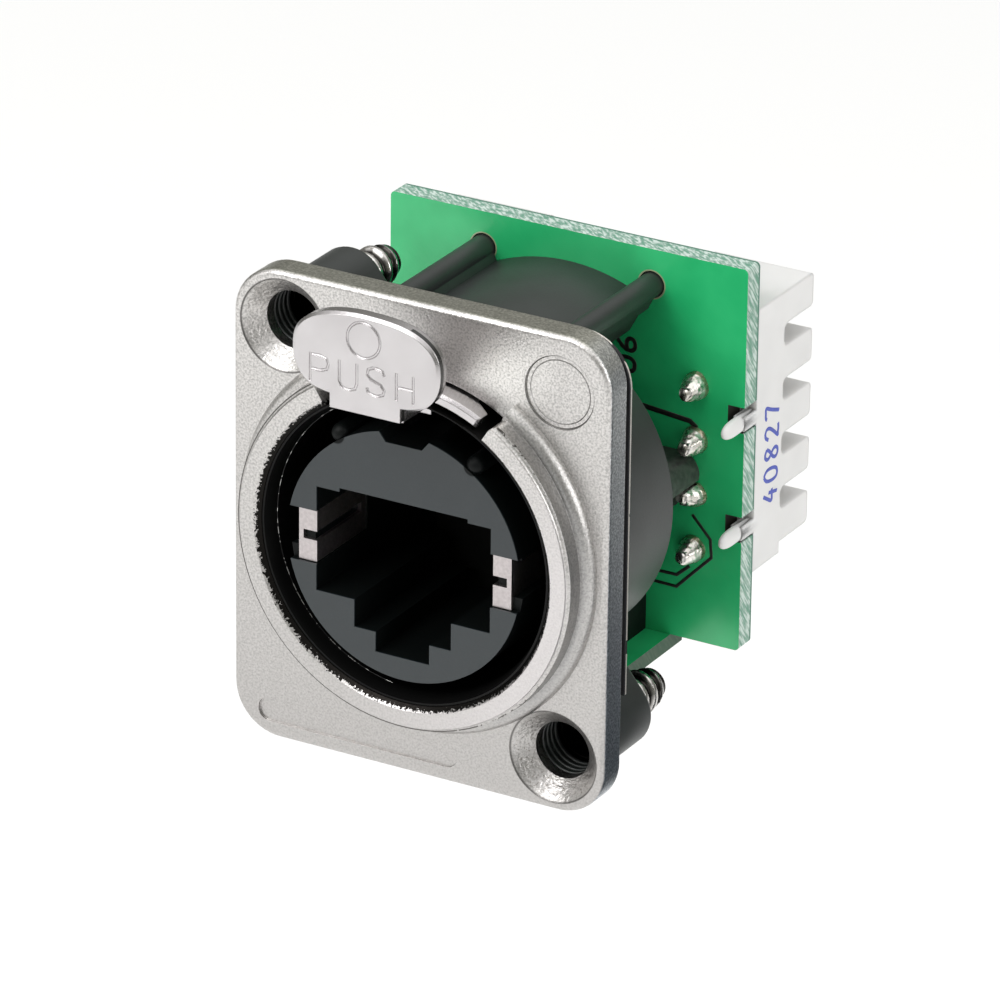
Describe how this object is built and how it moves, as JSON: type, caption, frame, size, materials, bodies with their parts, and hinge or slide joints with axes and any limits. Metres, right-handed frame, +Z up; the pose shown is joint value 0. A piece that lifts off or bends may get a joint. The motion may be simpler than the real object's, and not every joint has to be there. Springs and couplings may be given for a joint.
{
  "type": "ethernet panel receptacle",
  "caption": "Square-flanged panel socket for a modular network plug, with a round collar, a sprung push latch and a board with punch-down blocks behind.",
  "frame": {"origin": "on the socket's axis, in the plane of the flange's rear face, which lies on the panel", "axes": "+X right as seen from the front, +Y back into the panel, +Z up"},
  "size_m": [0.026, 0.033, 0.0325],
  "materials": {
    "cast_nickel": "satin nickel plate on a die casting with a fine cast grain",
    "latch_nickel": "satin nickel plate, brighter than the flange",
    "thin_steel": "plain rolled sheet",
    "black_plastic": "moulded black plastic with a soft sheen",
    "plated_steel": "dark plated steel",
    "dark_plastic": "charcoal moulded plastic",
    "carrier_plastic": "black moulded plastic",
    "shield_steel": "tinned spring sheet",
    "green_board": "glass fibre board under green varnish",
    "white_plastic": "white moulded plastic",
    "solder": "bright solder",
    "spring_steel": "drawn spring wire",
    "gold_contact": "gold plated spring contact",
    "tin_contact": "tin plated fork blade"
  },
  "bodies": {
    "socket": {"contact_carrier": "carrier_plastic", "earth_sheet": "thin_steel", "flange_shell": "cast_nickel", "idc_block_left": "white_plastic", "idc_block_right": "white_plastic", "idc_contact_1": "tin_contact", "idc_contact_2": "tin_contact", "idc_contact_3": "tin_contact", "idc_contact_4": "tin_contact", "idc_contact_5": "tin_contact", "idc_contact_6": "tin_contact", "idc_contact_7": "tin_contact", "idc_contact_8": "tin_contact", "jack_board": "green_board", "jack_contact_1": "gold_contact", "jack_contact_2": "gold_contact", "jack_contact_3": "gold_contact", "jack_contact_4": "gold_contact", "jack_contact_5": "gold_contact", "jack_contact_6": "gold_contact", "jack_contact_7": "gold_contact", "jack_contact_8": "gold_contact", "jack_insert": "dark_plastic", "latch_spring": "spring_steel", "main_board": "green_board", "rear_housing": "black_plastic", "shield_spring_left": "shield_steel", "shield_spring_right": "shield_steel", "solder_joints": "solder", "thread_bush_lower": "plated_steel", "thread_bush_upper": "plated_steel"},
    "latch": {"latch_lever": "latch_nickel"}
  },
  "joints": [
    {"name": "latch_push", "type": "slide", "parent": "socket", "child": "latch", "axis": [0, 1, 0], "range_m": [0, 0.0025], "stiffness_N_per_m": 500, "springref_m": -0.002, "deforming": ["latch_spring"]}
  ]
}
